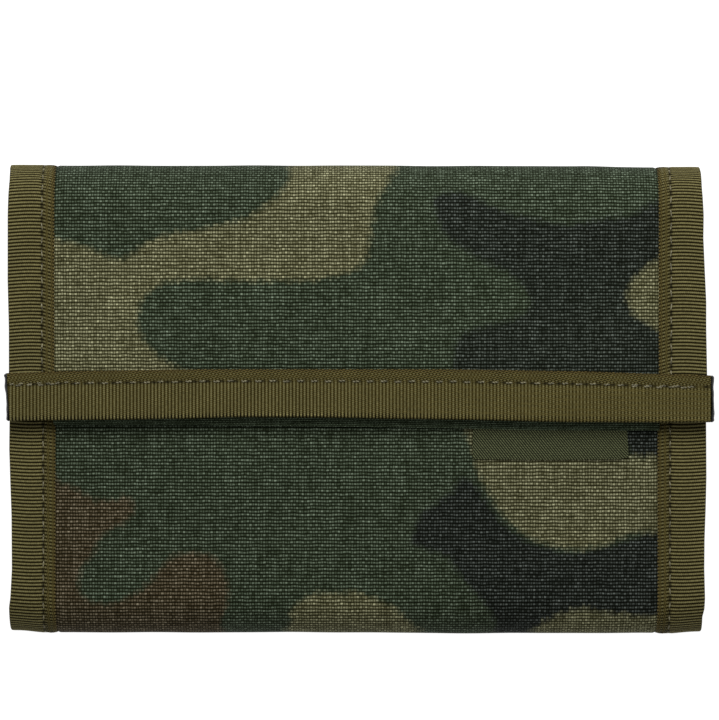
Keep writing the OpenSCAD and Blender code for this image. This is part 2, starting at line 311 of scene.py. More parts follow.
# The back's outlines: X to the right seen from the front, Y along the cloth from the top fold.
BACK_PATCHES = {
    "tan": [
        [(-12, -4), (-14, 3), (-20, 9), (-17, 15), (-8, 14), (-1, 11), (6, 6), (7.5, -4)],
        [(-58, 30), (-46, 27), (-36, 31), (-27, 39), (-30, 47), (-42, 49), (-50, 45), (-58, 47)],
        [(20, 52), (31, 47), (44, 49), (58, 44), (58, 62), (46, 66), (36, 61), (26, 62)],
        [(-13.5, 99), (-12, 90), (-6, 84), (3, 82), (11, 86), (14, 99)],
        [(34, 99), (36, 91), (46, 86), (58, 88), (58, 100)],
    ],
    "black": [
        [(15, 12), (26, 8), (40, 11), (58, 6), (58, 24), (45, 28), (33, 24), (22, 30), (14, 22)],
        [(-28, 55), (-16, 48), (-3, 52), (8, 60), (6, 70), (-7, 72), (-17, 66), (-27, 67)],
        [(24, 99), (26, 88), (22, 80), (32, 76), (44, 80), (58, 77), (58, 100)],
    ],
    "brown": [
        [(-60, 2), (-48, 0), (-38, 5), (-34, 13), (-42, 20), (-52, 18), (-60, 21)],
        [(-14, 24), (-4, 21), (4, 27), (12, 36), (8, 44), (-3, 42), (-10, 35)],
        [(-60, 99), (-60, 80), (-50, 76), (-38, 82), (-28, 86), (-24, 99)],
    ],
}


def closed_curve(points, steps=8):
    """A smooth closed curve through the points."""
    knots = np.array(points, float)
    before, after, beyond = (np.roll(knots, k, axis=0) for k in (1, -1, -2))
    bits = []
    for t in np.arange(steps) / steps:
        bits.append(
            0.5
            * (
                2 * knots
                + (after - before) * t
                + (2 * before - 5 * knots + 4 * after - beyond) * t**2
                + (3 * knots - before - 3 * after + beyond) * t**3
            )
        )
    return np.stack(bits, axis=1).reshape(-1, 2)


def inside_by(places, outline):
    """Distance inside a closed outline, and minus the distance outside it."""
    ends = np.roll(outline, -1, axis=0)
    nearest = np.full(len(places), np.inf)
    inside = np.zeros(len(places), bool)
    x, y = places.T
    for a, b in zip(outline, ends):
        edge = b - a
        t = np.clip(((places - a) @ edge) / max(edge @ edge, 1e-12), 0, 1)
        nearest = np.minimum(nearest, np.hypot(x - a[0] - t * edge[0], y - a[1] - t * edge[1]))
        if a[1] != b[1]:
            crossing = a[0] + (y - a[1]) * edge[0] / edge[1]
            inside ^= ((a[1] > y) != (b[1] > y)) & (x < crossing)
    return np.where(inside, nearest, -nearest)


def print_cloth(piece, places, patches):
    """Stores how far inside the print's patches each point is, in millimetres."""
    for colour, outlines in patches.items():
        value = np.full(len(places), -20.0)
        for outline in outlines:
            value = np.maximum(value, inside_by(places, closed_curve(outline)))
        attribute = piece.data.attributes.new("print_" + colour, "FLOAT", "POINT")
        attribute.data.foreach_set("value", value.astype(np.float32))


# ---------------------------------------------------------------- shaping


def smooth_step(t):
    """0 up to 0, 1 from 1 on, and a smooth rise between."""
    t = np.clip(t, 0, 1)
    return t * t * (3 - 2 * t)


def wander(t, start):
    """A smooth irregular wave between about -1 and 1, with a wavelength near one unit of t."""
    return (
        np.sin(6.283 * t + start) + 0.7 * np.sin(2.71 * t + 2.3 * start)
        + 0.5 * np.sin(10.9 * t + 4.1 * start)
    ) / 2.2


def deselect():
    """Leaves nothing selected."""
    if bpy.context.object and bpy.context.object.mode != "OBJECT":
        bpy.ops.object.mode_set(mode="OBJECT")
    bpy.ops.object.select_all(action="DESELECT")


def activate(piece):
    """Selects the piece alone and makes it the active one."""
    deselect()
    piece.select_set(True)
    bpy.context.view_layer.objects.active = piece


def edit_all(piece):
    """Opens the piece for editing with all of it selected."""
    activate(piece)
    bpy.ops.object.mode_set(mode="EDIT")
    bpy.ops.mesh.select_all(action="SELECT")


def face_outwards():
    """Turns the selected faces outwards and ends the editing."""
    bpy.ops.mesh.normals_make_consistent(inside=False)
    bpy.ops.object.mode_set(mode="OBJECT")


def seal(threshold):
    """Joins points that meet, closes the open ends, turns the faces outwards and ends the editing."""
    bpy.ops.mesh.remove_doubles(threshold=threshold)
    bpy.ops.mesh.select_all(action="DESELECT")
    bpy.ops.mesh.select_non_manifold()
    bpy.ops.mesh.fill_holes(sides=0)
    bpy.ops.mesh.select_all(action="SELECT")
    face_outwards()


def new_grid(name, columns, rows):
    """A square sheet of cells, one metre wide, and its points as shares of it from 0 to 1."""
    deselect()
    bpy.ops.mesh.primitive_grid_add(x_subdivisions=columns, y_subdivisions=rows, size=1)
    piece = bpy.context.object
    piece.name = name
    piece.data.name = name
    spots = points_of(piece)
    return piece, spots[:, 0] + 0.5, spots[:, 1] + 0.5


def points_of(piece):
    """The piece's points as an array."""
    spots = np.zeros(len(piece.data.vertices) * 3)
    piece.data.vertices.foreach_get("co", spots)
    return spots.reshape(-1, 3)


def move_points(piece, x, y, z):
    """Moves the piece's points to the places given."""
    x, y, z = np.broadcast_arrays(x, y, z)
    piece.data.vertices.foreach_set("co", np.stack([x, y, z], axis=1).ravel())
    piece.data.update()


def write_uv(piece, u, v):
    """Gives every point its place on the cloth or tape, in millimetres."""
    layer = piece.data.uv_layers[0] if piece.data.uv_layers else piece.data.uv_layers.new()
    corner = np.zeros(len(piece.data.loops), np.int32)
    piece.data.loops.foreach_get("vertex_index", corner)
    u, v = np.broadcast_arrays(u, v)
    layer.data.foreach_set("uv", (np.stack([u, v], axis=1)[corner] / MM).ravel())


def face_towards(piece, direction):
    """Turns an open sheet over if its middle faces away from the direction given."""
    faces = piece.data.polygons
    total = sum((f.normal * f.area for f in faces), start=faces[0].normal * 0)
    if total.dot(direction) < 0:
        edit_all(piece)
        bpy.ops.mesh.flip_normals()
        bpy.ops.object.mode_set(mode="OBJECT")


def thicken(piece, thickness):
    """Gives a sheet its thickness, inwards from its face."""
    activate(piece)
    modifier = piece.modifiers.new("Solidify", "SOLIDIFY")
    modifier.thickness = thickness
    modifier.offset = -1
    modifier.use_even_offset = False
    bpy.ops.object.modifier_apply(modifier=modifier.name)


def smooth(piece):
    """Shades the piece smooth."""
    activate(piece)
    bpy.ops.object.shade_smooth_by_angle(angle=SHARP_ANGLE)


def dress(piece, finish):
    """Gives the piece its finish."""
    piece.data.materials.clear()
    piece.data.materials.append(FINISHES[finish])


def make_up(piece, thickness, finish):
    """Gives an open sheet its thickness, its smooth shading and its finish."""
    thicken(piece, thickness)
    smooth(piece)
    dress(piece, finish)


# ---------------------------------------------------------------- finishes


class Finish:
    """A node material while it is being built."""

    def __init__(self, name):
        self.material = bpy.data.materials.new(name)
        self.material.use_nodes = True
        self.tree = self.material.node_tree
        self.shader = self.tree.nodes["Principled BSDF"]

    def node(self, kind, inputs=None, **settings):
        made = self.tree.nodes.new(kind)
        for key, value in settings.items():
            setattr(made, key, value)
        for socket, value in (inputs or {}).items():
            self.feed(made.inputs[socket], value)
        return made

    def feed(self, socket, value):
        if isinstance(value, bpy.types.NodeSocket):
            self.tree.links.new(value, socket)
        else:
            socket.default_value = value

    def maths(self, operation, a, b=0.0, c=0.0, clamp=False):
        made = self.node("ShaderNodeMath", {0: a, 1: b, 2: c}, operation=operation)
        made.use_clamp = clamp
        return made.outputs[0]

    def times(self, a, b, clamp=False):
        return self.maths("MULTIPLY", a, b, clamp=clamp)

    def plus(self, a, b):
        return self.maths("ADD", a, b)

    def linear(self, value, slope, offset, clamp=False):
        return self.maths("MULTIPLY_ADD", value, slope, offset, clamp)

    def bell(self, value, sharpness):
        """1 where the value is 0, falling away on both sides of it."""
        scaled = self.times(value, sharpness)
        return self.maths("EXPONENT", self.times(self.times(scaled, scaled), -1.0))

    def between(self, share, a, b):
        """The number a where the share is 0, and b where it is 1."""
        return self.node("ShaderNodeMix", {0: share, 2: a, 3: b}).outputs[0]

    def mix(self, share, a, b):
        made = self.node("ShaderNodeMix", {0: share, 6: a, 7: b}, data_type="RGBA")
        return made.outputs[2]

    def combined(self, kind, a, b):
        made = self.node("ShaderNodeMix", {0: 1.0, 6: a, 7: b}, data_type="RGBA", blend_type=kind)
        return made.outputs[2]

    def scaled(self, colour, factor):
        return self.combined("MULTIPLY", colour, factor)

    def attribute(self, name):
        return self.node("ShaderNodeAttribute", attribute_name=name).outputs["Fac"]

    def uv(self):
        layer = self.node("ShaderNodeUVMap", uv_map="UVMap")
        split = self.node("ShaderNodeSeparateXYZ", {0: layer.outputs[0]})
        return split.outputs[0], split.outputs[1], layer.outputs[0]

    def place(self):
        return self.node("ShaderNodeTexCoord").outputs["Object"]

    def noise(self, vector, scale, detail=2.0):
        inputs = {"Vector": vector, "Scale": scale, "Detail": detail}
        return self.node("ShaderNodeTexNoise", inputs).outputs["Fac"]

    def bump(self, height, distance):
        made = self.node("ShaderNodeBump", {"Height": height, "Distance": distance, "Strength": 1.0})
        self.feed(self.shader.inputs["Normal"], made.outputs[0])

    def surface(self, **values):
        for name, value in values.items():
            self.feed(self.shader.inputs[name.replace("_", " ")], value)


def colour4(colour):
    """A colour with its alpha."""
    return (*colour, 1.0)


def darkened(colour, shares):
    """A colour with each of its channels scaled, and its alpha."""
    return colour4([channel * share for channel, share in zip(colour, shares)])


def plain_weave(finish, u, v, warp, weft):
    """(height, a number for each crossing) of a plain weave. Its weft floats stand out the most."""
    drift = finish.linear(finish.noise(finish.uv()[2], 0.45, 1.0), 0.5, -0.25)
    column = finish.plus(finish.maths("DIVIDE", u, warp), drift)
    row = finish.plus(finish.maths("DIVIDE", v, weft), drift)
    column_wave = finish.maths("SINE", finish.times(column, math.pi))
    row_wave = finish.maths("SINE", finish.times(row, math.pi))
    weft_over = finish.times(column_wave, finish.maths("SIGN", row_wave))
    weft_share = finish.linear(weft_over, 1.3, 0.55, clamp=True)
    across = finish.maths("ABSOLUTE", column_wave)
    down = finish.maths("ABSOLUTE", row_wave)
    weft_top = finish.linear(finish.maths("MAXIMUM", weft_over, 0.0), 0.35, 0.75)
    weft_float = finish.times(finish.maths("POWER", down, 1.9), weft_top)
    warp_float = finish.maths(
        "MULTIPLY", finish.maths("POWER", across, 1.3), finish.times(down, 0.8)
    )
    height = finish.between(weft_share, warp_float, weft_float)
    cell = finish.node(
        "ShaderNodeCombineXYZ",
        {0: finish.maths("FLOOR", column), 1: finish.maths("FLOOR", row)},
    )
    chance = finish.node(
        "ShaderNodeTexWhiteNoise", {"Vector": cell.outputs[0]}, noise_dimensions="2D"
    ).outputs["Value"]
    return height, chance


def stretched(finish, vector, scale):
    """The vector with each axis scaled, for a noise that runs along threads."""
    return finish.node("ShaderNodeMapping", {"Vector": vector, "Scale": scale}).outputs[0]


def cloth_finish(name, sizes, colours, fineness=1.0, gain=2.33):
    """Plain-woven nylon with the camouflage print."""
    finish = Finish(name)
    u, v, place = finish.uv()
    warp, weft = sizes.warp_pitch * fineness / MM, sizes.weft_pitch * fineness / MM
    height, chance = plain_weave(finish, u, v, warp, weft)
    colour = colour4(colours.green)
    # painted light: 0 at the middle of the top fold, rising to 1 at 30 mm along the flap; 0 on the
    # other cloth
    flap_painted_light = finish.times(v, -1 / 30.0, clamp=True)
    ragged = finish.linear(chance, 0.7, -0.35)
    blur = finish.noise(place, 0.7, 3.0)
    ragged = finish.plus(ragged, finish.linear(blur, 1.6, -0.8))
    for patch in ("brown", "black", "tan"):
        edge = finish.plus(finish.attribute("print_" + patch), ragged)
        share = finish.linear(edge, 0.7, 0.5, clamp=True)
        # painted light: the flap's black patches are painted up to 16 % paler
        if patch == "black":
            share = finish.times(share, finish.linear(flap_painted_light, -0.16, 1.0))
        colour = finish.mix(share, colour, colour4(getattr(colours, patch)))
    streak = finish.noise(stretched(finish, place, (0.28, 1.7, 1.0)), 1.0, 2.0)
    column_streak = finish.noise(stretched(finish, place, (2.0, 0.12, 1.0)), 1.0, 2.0)
    cloud = finish.noise(place, 0.06, 2.0)
    lively = finish.linear(chance, 0.5, 0.72)
    # painted light and shade: each thread's float is painted lighter by its height, and the gaps
    # between threads darker
    bright = finish.times(height, lively)
    bright = finish.times(bright, finish.linear(streak, 1.5, 0.25))
    bright = finish.times(bright, finish.linear(column_streak, 1.3, 0.35))
    light = finish.linear(bright, gain, 0.03)
    # painted shade: the darkest gaps between threads are tinted yellow-brown
    shade = finish.times(bright, 2.2, clamp=True)
    colour = finish.mix(shade, finish.scaled(colour, (1.05, 1.02, 0.62, 1.0)), colour)
    light = finish.times(light, finish.linear(cloud, 0.3, 0.85))
    # painted light: the flap's cloth is painted up to 8 % lighter
    light = finish.times(light, finish.linear(flap_painted_light, 0.08, 1.0))
    # painted highlight: a grey glint added to the colour on the brightest floats
    glint = finish.maths("MAXIMUM", finish.maths("SUBTRACT", bright, 0.42), 0.0)
    painted_glint = finish.scaled((0.065, 0.07, 0.068, 1.0), glint)
    lit = finish.combined("ADD", finish.scaled(colour, light), painted_glint)
    finish.surface(Base_Color=lit, Roughness=0.75, Specular_IOR_Level=0.04)
    finish.bump(height, 0.1 * MM)
    return finish.material


def tape_finish(
    name, sizes, colours, rib=2.25, floor=0.02, beads=0.4, mesh=0.4, fade=0.0, rim=0.0
):
    """Ribbed grosgrain: ridges catch the light, and the grooves between them are dark.

    rib and floor are the ridges' and the grooves' painted light, and beads the painted shade between
    a ridge's strands. mesh is how far fine dots take the ribs' place, fade lets them grow along the
    tape, and rim is where across the tape its outer edge catches a painted highlight, or 0.
    """
    finish = Finish(name)
    out, along, place = finish.uv()
    inside = finish.maths("SUBTRACT", SEW_IN / MM, out)
    inner = finish.times(inside, 3.0, clamp=True)
    turns = finish.times(along, MM / sizes.rib_pitch)
    slant = finish.times(finish.maths("MAXIMUM", inside, 0.0), 0.3)
    phase = finish.times(finish.plus(turns, slant), 2 * math.pi)
    ridge = finish.linear(finish.maths("COSINE", phase), 0.5, 0.5)
    number = finish.maths("FLOOR", finish.plus(finish.plus(turns, slant), 0.5))
    strand = finish.times(out, 2 * math.pi / 0.36)
    strand = finish.plus(strand, finish.times(number, math.pi))
    bead = finish.linear(finish.maths("SINE", strand), 0.5, 0.5)
    grain = finish.noise(stretched(finish, place, (2.6, 1.6, 1.0)), 1.0, 3.0)
    patchy = finish.noise(place, 0.16, 3.0)
    line = finish.bell(inside, 3.6)
    # painted shade along the sewing line, deepest at the holes between stitches
    sewing_shade = finish.times(finish.maths("ABSOLUTE", along), MM / sizes.stitch_pitch)
    sewing_shade = finish.maths("COSINE", finish.linear(sewing_shade, 2 * math.pi, -0.63))
    sewing_shade = finish.times(line, finish.linear(sewing_shade, 0.35, 0.5))
    ridge = finish.maths("POWER", ridge, 1.15)
    dots = finish.maths("COSINE", finish.times(out, 2 * math.pi / 0.92))
    dots = finish.times(dots, finish.maths("COSINE", phase))
    fine = finish.linear(dots, 0.6, 0.45)
    softer = finish.linear(along, fade, fade * 12, clamp=True)
    share = finish.times(finish.maths("MAXIMUM", inner, softer), mesh)
    ridge = finish.between(share, ridge, fine)
    beaded = finish.times(bead, finish.linear(inner, 0.45, beads))
    gain = finish.linear(inner, -0.3, rib)
    light = finish.linear(ridge, gain, floor)
    light = finish.plus(light, finish.times(inner, 0.22))
    light = finish.maths("SUBTRACT", light, beaded)
    if rim:
        at_rim = finish.bell(finish.maths("SUBTRACT", out, rim), 2.6)
        light = finish.linear(at_rim, finish.linear(ridge, 1.5, -0.6), light)
    light = finish.times(light, finish.linear(grain, 1.2, 0.45))
    light = finish.times(light, finish.linear(patchy, 0.4, 0.8))
    light = finish.times(light, finish.maths("SUBTRACT", 1.0, sewing_shade))
    light = finish.maths("MAXIMUM", light, 0.03)
    # painted shade: the grooves between ribs take a darker, yellower colour
    deep = darkened(colours.tape, (1.15, 0.9, 0.25))
    colour = finish.mix(ridge, deep, colour4(colours.tape))
    edge = finish.times(finish.bell(out, math.sqrt(5)), 0.6)
    colour = finish.mix(edge, colour, darkened(colours.tape, (0.7, 0.5, 0.3)))
    finish.surface(Base_Color=finish.scaled(colour, light), Roughness=0.75, Specular_IOR_Level=0.06)
    finish.bump(finish.plus(grain, bead), 0.05 * MM)
    return finish.material


def thread_finish(name, colours):
    """Twisted sewing thread."""
    finish = Finish(name)
    place = finish.place()
    twist = finish.noise(place, 2600.0, 2.0)
    shade = finish.linear(twist, 4.2, -1.15)
    shade = finish.maths("MAXIMUM", shade, 0.15)
    finish.surface(
        Base_Color=finish.scaled(colour4(colours.thread), shade), Roughness=0.6,
        Specular_IOR_Level=0.2,
    )
    finish.bump(twist, 0.05 * MM)
    return finish.material


def lining_finish(name, colour, pitch=0.3):
    """Fine coated nylon."""
    finish = Finish(name)
    u, v, place = finish.uv()
    height, chance = plain_weave(finish, u, v, pitch, pitch)
    cloud = finish.noise(place, 0.15, 3.0)
    light = finish.linear(height, finish.linear(chance, 1.0, 0.6), 0.5)
    light = finish.times(light, finish.linear(cloud, 0.5, 0.75))
    finish.surface(
        Base_Color=finish.scaled(colour4(colour), light), Roughness=0.55,
        Specular_IOR_Level=0.3,
    )
    finish.bump(height, 0.05 * MM)
    return finish.material


def twill_finish(name, colours):
    """Fine diagonal twill of the label, each wale a string of short stitches."""
    finish = Finish(name)
    u, v, place = finish.uv()
    slant = finish.plus(finish.times(u, 1.25), v)
    wale = finish.maths("SINE", finish.times(slant, 2 * math.pi / 0.66))
    wale = finish.linear(wale, 0.5, 0.5)
    across = finish.maths("SINE", finish.times(v, 2 * math.pi / 0.42))
    speck = finish.noise(place, 2.2, 2.0)
    light = finish.linear(finish.maths("POWER", wale, 1.6), 2.35, 0.08)
    light = finish.times(light, finish.linear(across, 0.28, 0.9))
    light = finish.times(light, finish.linear(speck, 1.2, 0.4))
    finish.surface(
        Base_Color=finish.scaled(colour4(colours.label), light), Roughness=0.7,
        Specular_IOR_Level=0.1,
    )
    finish.bump(wale, 0.08 * MM)
    return finish.material


def speckled_finish(name, colour, roughness, scale=900.0, metallic=0.0):
    """A plain material with a fine irregular grain."""
    finish = Finish(name)
    grain = finish.noise(finish.place(), scale, 3.0)
    shade = finish.linear(grain, 0.7, 0.65)
    finish.surface(Base_Color=finish.scaled(colour4(colour), shade), Roughness=roughness)
    finish.surface(Metallic=metallic)
    finish.surface(Specular_IOR_Level=0.3)
    finish.bump(grain, 0.05 * MM)
    return finish.material


def film_finish(name):
    """Clear film with faint scuffs."""
    finish = Finish(name)
    scuff = finish.noise(finish.place(), 220.0, 4.0)
    rough = finish.linear(scuff, 0.2, 0.1)
    haze = finish.linear(scuff, 0.12, 0.1)
    finish.surface(Base_Color=(0.25, 0.27, 0.27, 1.0), Roughness=rough, Alpha=haze)
    return finish.material


FINISHES = {}


def make_finishes(settings, colours):
    """Makes every finish once."""
    FINISHES.update(
        cloth=cloth_finish("camouflage cloth", settings, colours),
        # painted light: the hem's cloth, more finely woven, is painted brighter (gain 3.6) to lift it
        # in the edge strip's shadow
        hem_cloth=cloth_finish("camouflage hem cloth", settings, colours, fineness=0.55, gain=3.6),
        tape=tape_finish("grosgrain tape", settings, colours),
        wide_tape=tape_finish(
            "wide grosgrain tape", settings, colours, rib=1.3, floor=0.52, beads=0.55, mesh=0.85,
            fade=0.0065, rim=(STRIP_HIGH.y - STRIP_LOW.y) / MM - 0.45,
        ),
        thread=thread_finish("sewing thread", colours),
        lining=lining_finish("coated lining", colours.lining),
        zip_tape=lining_finish("zip tape", (0.02, 0.02, 0.019), 0.5),
        label=twill_finish("label twill", colours),
        cut=speckled_finish("heat-cut edge", (0.0025, 0.0025, 0.002), 0.45),
        foam=speckled_finish("foam", (0.35, 0.36, 0.34), 0.9),
        hook=speckled_finish("hook tape", (0.045, 0.05, 0.033), 0.6, 1600.0),
        loop=speckled_finish("loop tape", (0.055, 0.06, 0.04), 0.95, 1200.0),
        coil=speckled_finish("zip coil", (0.018, 0.018, 0.018), 0.35),
        metal=speckled_finish("lacquered zinc", (0.05, 0.05, 0.05), 0.35, 500.0, 0.8),
        film=film_finish("clear film"),
    )


# ---------------------------------------------------------------- cloth panels


def panel_depth(x, along, run, sizes, end_dip):
    """How deep the outer cloth lies under the face: caught under the tapes, swollen between them."""
    caught = TAPE_T + 0.02 * MM
    from_tape = np.maximum(TAPE_X + 0.3 * MM - np.abs(x), 0)
    at_fold = 1 - smooth_step((along - 0.3 * run.arc) / (8 * MM))
    rise = 1 - np.exp(-from_tape / (1.6 * MM - 1.38 * MM * at_fold))
    from_end = np.maximum(run.length - along - end_dip, 0)
    end_rise = 1 - np.exp(-from_end / (2.2 * MM))
    flat = smooth_step((along - 0.6 * run.arc) / (12 * MM))
    middle = np.cos(np.clip(x / TAPE_X, -1, 1) * math.pi / 2) ** 0.5
    crown = (1.0 if run.up > 0 else 0.15) * sizes.crown * middle * flat * end_rise
    pucker = 0.05 * MM * np.cos(2 * math.pi * along / sizes.stitch_pitch)
    pucker = pucker * np.exp(-from_tape / (1.5 * MM)) * (from_tape > 0)
    ripple = 0.06 * MM * wander(along / (17 * MM), 1.0) * wander(x / (31 * MM), 2.0)
    return caught * (1 - rise * np.maximum(end_rise, 0.15)) - crown + pucker + ripple * flat


def cloth_panel(run, sizes, end_dip):
    """One run of the outer cloth, from the middle of its fold to its end."""
    half = TAPE_X + UNDER_TAPE
    cell = 0.8 * MM
    columns, rows = round(2 * half / cell), round(run.length / cell)
    piece, across, down = new_grid(run.name + "_cloth", columns, rows)
    x = (across * 2 - 1) * half
    along = down * run.length
    depth = panel_depth(x, along, run, sizes, end_dip)
    y, z = run.place(along, depth)
    y = y + run.proud(x, along)
    move_points(piece, x, y, z)
    write_uv(piece, x, run.cloth_v(along))
    face_towards(piece, (0, 0, run.up))
    if run.up > 0:
        print_cloth(
            piece, np.stack([x, y], axis=1) / MM, FLAP_PATCHES if run.side > 0 else FRONT_PATCHES
        )
    else:
        print_cloth(piece, np.stack([x, run.cloth_v(along)], axis=1) / MM, BACK_PATCHES)
    make_up(piece, sizes.cloth_thickness, "cloth")
    run.bend(piece)
    return piece


# ---------------------------------------------------------------- tapes


# How far the left and the right outline stand out of true, along Y, both in millimetres
LEFT_SWELL = [(-44, 0.1), (-39.5, 0.1), (-37.5, -0.15), (-32, -0.45), (-22, -0.38), (-15, -0.13),
              (-9.5, 0.05), (-5, 0.0), (5, -0.2), (13, -0.2), (18, -0.08), (22, 0.03), (34, 0.02),
              (39, -0.08), (41, -0.15), (43, -0.05), (44, 0.22)]
RIGHT_SWELL = [(-44, -0.05), (-41, -0.15), (-39.5, 0.2), (-37.5, 0.3), (-32, 0.15), (-26.5, 0.2),
               (-21, 0.4), (-15, 0.55), (-5, 0.5), (5, 0.35), (13, 0.2), (18, 0.2), (24, -0.08),
               (30, -0.34), (34, -0.28), (36, -0.36), (40, -0.52), (43, -0.45), (44, -0.5)]


def swell(y, left):
    """How far a side's outline stands out at that height."""
    knots = np.array(LEFT_SWELL if left else RIGHT_SWELL) * MM
    return np.interp(y, knots[:, 0], knots[:, 1])


def ribs(along, pitch):
    """The grosgrain's ribs, from 0 in a groove to 1 on a ridge."""
    return 0.5 + 0.5 * np.cos(2 * math.pi * along / pitch)


def folded_tape(share, width, depth, edge, short):
    """(distance out from the inner edge, depth) at a share of the way round a folded tape."""
    edge = min(edge, width / 2)
    outer = width - edge
    turn = math.pi * math.sqrt((edge**2 + (np.max(depth) / 2) ** 2) / 2)
    inner = width - edge - short
    run = share * (outer + turn + inner)
    angle = np.clip((run - outer) / turn, 0, 1) * math.pi
    back = np.maximum(run - outer - turn, 0)
    out = np.where(run < outer, run, outer + edge * np.sin(angle) ** 0.6 - back)
    tall = np.sign(np.cos(angle)) * np.abs(np.cos(angle)) ** 0.6
    return out, depth / 2 - depth / 2 * tall


def tape_relief(out, along, sizes):
    """Height of a bound tape's face: ribs, a furrow along the sewing, and a beaded edge inside it."""
    line = out - SEW_IN
    furrow = -0.16 * MM * np.exp(-((line / (0.35 * MM)) ** 2))
    beads = 0.5 + 0.5 * np.cos(2 * math.pi * out / (0.62 * MM) + math.pi * along / sizes.rib_pitch)
    inside = smooth_step(-line / (0.3 * MM))
    rib = ribs(along, sizes.rib_pitch)
    pull = 0.05 * MM * np.cos(2 * math.pi * along / sizes.stitch_pitch) * np.exp(-((line / MM) ** 2))
    height = sizes.rib_height * rib * (1 - 0.35 * inside * beads)
    edge_fall = -0.18 * MM * np.exp(-out / (0.35 * MM))
    return height + furrow + pull + edge_fall


def side_tape(run, left, sizes):
    """The binding down one side of a run."""
    overrun = 5 * MM if run.name == "front" else 0
    length = run.length + overrun
    rows = round(length / sizes.rib_pitch) * ROWS_PER_RIB
    side = "left" if left else "right"
    piece, across, down = new_grid(f"{run.name}_side_tape_{side}", 30, rows)
    along = down * length
    y_flat, _ = run.place(along, 0)
    fold = run.tape_fold(along)[0 if left else 1]
    width = HALF_W - TAPE_X
    out, depth = folded_tape(across, width, fold, 0.5 * MM, 0.3 * MM)
    bow = 0.25 * MM * np.sin(np.clip(out / width, 0, 1) * math.pi)
    rib_along = run.chart[1] * along - bow * run.side
    facing = depth < fold * 0.5
    relief = tape_relief(out, rib_along, sizes) * np.where(facing, 1, 0.6)
    x = TAPE_X + out + swell(y_flat, left) * np.clip(out / width, 0, 1) ** 2
    lift = np.where(facing, -relief, relief)
    y, z = run.place(along, depth + lift)
    x = -x if left else x
    move_points(piece, x, y + run.proud(x, along), z)
    write_uv(piece, out, rib_along)
    face_towards(piece, (-1 if left else 1, 0, 0))
    make_up(piece, TAPE_SHEET, "tape")
    run.bend(piece)
    return piece


def binding(
    name, along_x, span, inner, outer, z_span, sizes, short=0.4 * MM, shape=None, finish="tape"
):
    """A tape folded over a straight edge: it runs over the span, from its inner edge out and back."""
    rows = round((span[1] - span[0]) / sizes.rib_pitch) * ROWS_PER_RIB
    width = abs(outer - inner)
    columns = max(round(2 * width / (0.75 * MM)), 12)
    piece, across, down = new_grid(name, columns, rows)
    run = span[0] + down * (span[1] - span[0])
    fold = z_span[1] - z_span[0]
    out, depth = folded_tape(across, width, fold, 0.6 * MM, short)
    relief = tape_relief(out, run, sizes)
    side = inner + out * (1 if outer > inner else -1)
    height = z_span[1] - depth + np.where(depth < fold / 2, relief, -relief)
    if shape:
        run, side, height = shape(run, side, height, out / width)
    move_points(piece, *((run, side, height) if along_x else (side, run, height)))
    write_uv(piece, out, run)
    outward = 1 if outer > inner else -1
    face_towards(piece, (0, outward, 0) if along_x else (outward, 0, 0))
    make_up(piece, TAPE_SHEET, finish)
    return piece


STRIP_SPAN = (-65.2 * MM, 66.1 * MM)
# Heights of the strip's upper and lower edge out of true, along X, in millimetres
STRIP_TOP = [(-67, -0.5), (-55, -0.1), (-29, 0.3), (17, 0.3), (42, -0.1), (60, -0.7), (67, -0.9)]
STRIP_BOTTOM = [(-67, -0.25), (-55, -0.05), (-40, 0.1), (-30, 0.3), (-22, 0.5), (-5, 0.45), (8, 0.2),
                (20, 0.05), (30, -0.2), (40, -0.45), (55, -0.5), (67, -0.45)]


def edge_strip(sizes):
    """The wide binding along the flap's free edge, its ribs upright."""

    def shape(x, y, z, share):
        slant = 0.5 * MM * np.clip(share, 0, 1) * np.exp((STRIP_SPAN[0] - x) / (5 * MM))
        return x + slant, y + strip_sag(x, share), z - 0.1 * MM

    piece = binding(
        "flap_edge_tape", True, STRIP_SPAN, STRIP_HIGH.y, STRIP_LOW.y, (STRIP_LOW.z, STRIP_HIGH.z),
        sizes, shape=shape, finish="wide_tape",
    )
    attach(piece, "flap")
    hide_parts("flap_edge_binding")


def cut_end(left):
    """The melted end of the flap's edge tape: a narrow lumpy bead down the cut."""
    piece, across, down = new_grid("flap_edge_cut_" + ("left" if left else "right"), 14, 60)
    angle = across * 2 * math.pi
    x_end = STRIP_SPAN[0] if left else STRIP_SPAN[1]
    lump = 1 + 0.3 * wander(down * 2.5, 3.0 if left else 1.0)
    lump = lump + 0.5 * np.exp(-(((down - (0.04 if left else 0.97)) / 0.05) ** 2))
    width = STRIP_HIGH.y - STRIP_LOW.y
    middle = (STRIP_HIGH.z + STRIP_LOW.z) / 2 - 0.05 * MM
    tall = (STRIP_HIGH.z - STRIP_LOW.z) / 2 - 0.05 * MM
    close = np.clip(np.minimum(down, 1 - down) / 0.04, 0.02, 1) ** 0.5
    slant = (0.32 * down - 0.1) * MM if left else 0.28 * MM
    lump = lump + (0 if left else 0.3) * np.exp(-(((down - 0.22) / 0.12) ** 2))
    thick = (0.38 if left else 0.36) * MM
    bead = thick * lump * np.cos(angle) + 0.1 * MM * wander(down * 1.5, 2.0)
    x = x_end + bead * close + slant
    y = STRIP_HIGH.y - down * width + strip_sag(np.full_like(x, x_end), down)
    z = middle + tall * close * np.sin(angle)
    move_points(piece, x, y, z)
    write_uv(piece, x, y)
    edit_all(piece)
    seal(0.004 * MM)
    smooth(piece)
    dress(piece, "cut")
    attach(piece, "flap")


def strip_sag(x, share):
    """How far the strip stands out of true, between its upper edge (share 0) and its lower (1)."""
    top, bottom = np.array(STRIP_TOP) * MM, np.array(STRIP_BOTTOM) * MM
    upper = np.interp(x, top[:, 0], top[:, 1])
    lower = np.interp(x, bottom[:, 0], bottom[:, 1])
    return upper + (lower - upper) * np.clip(share, 0, 1)


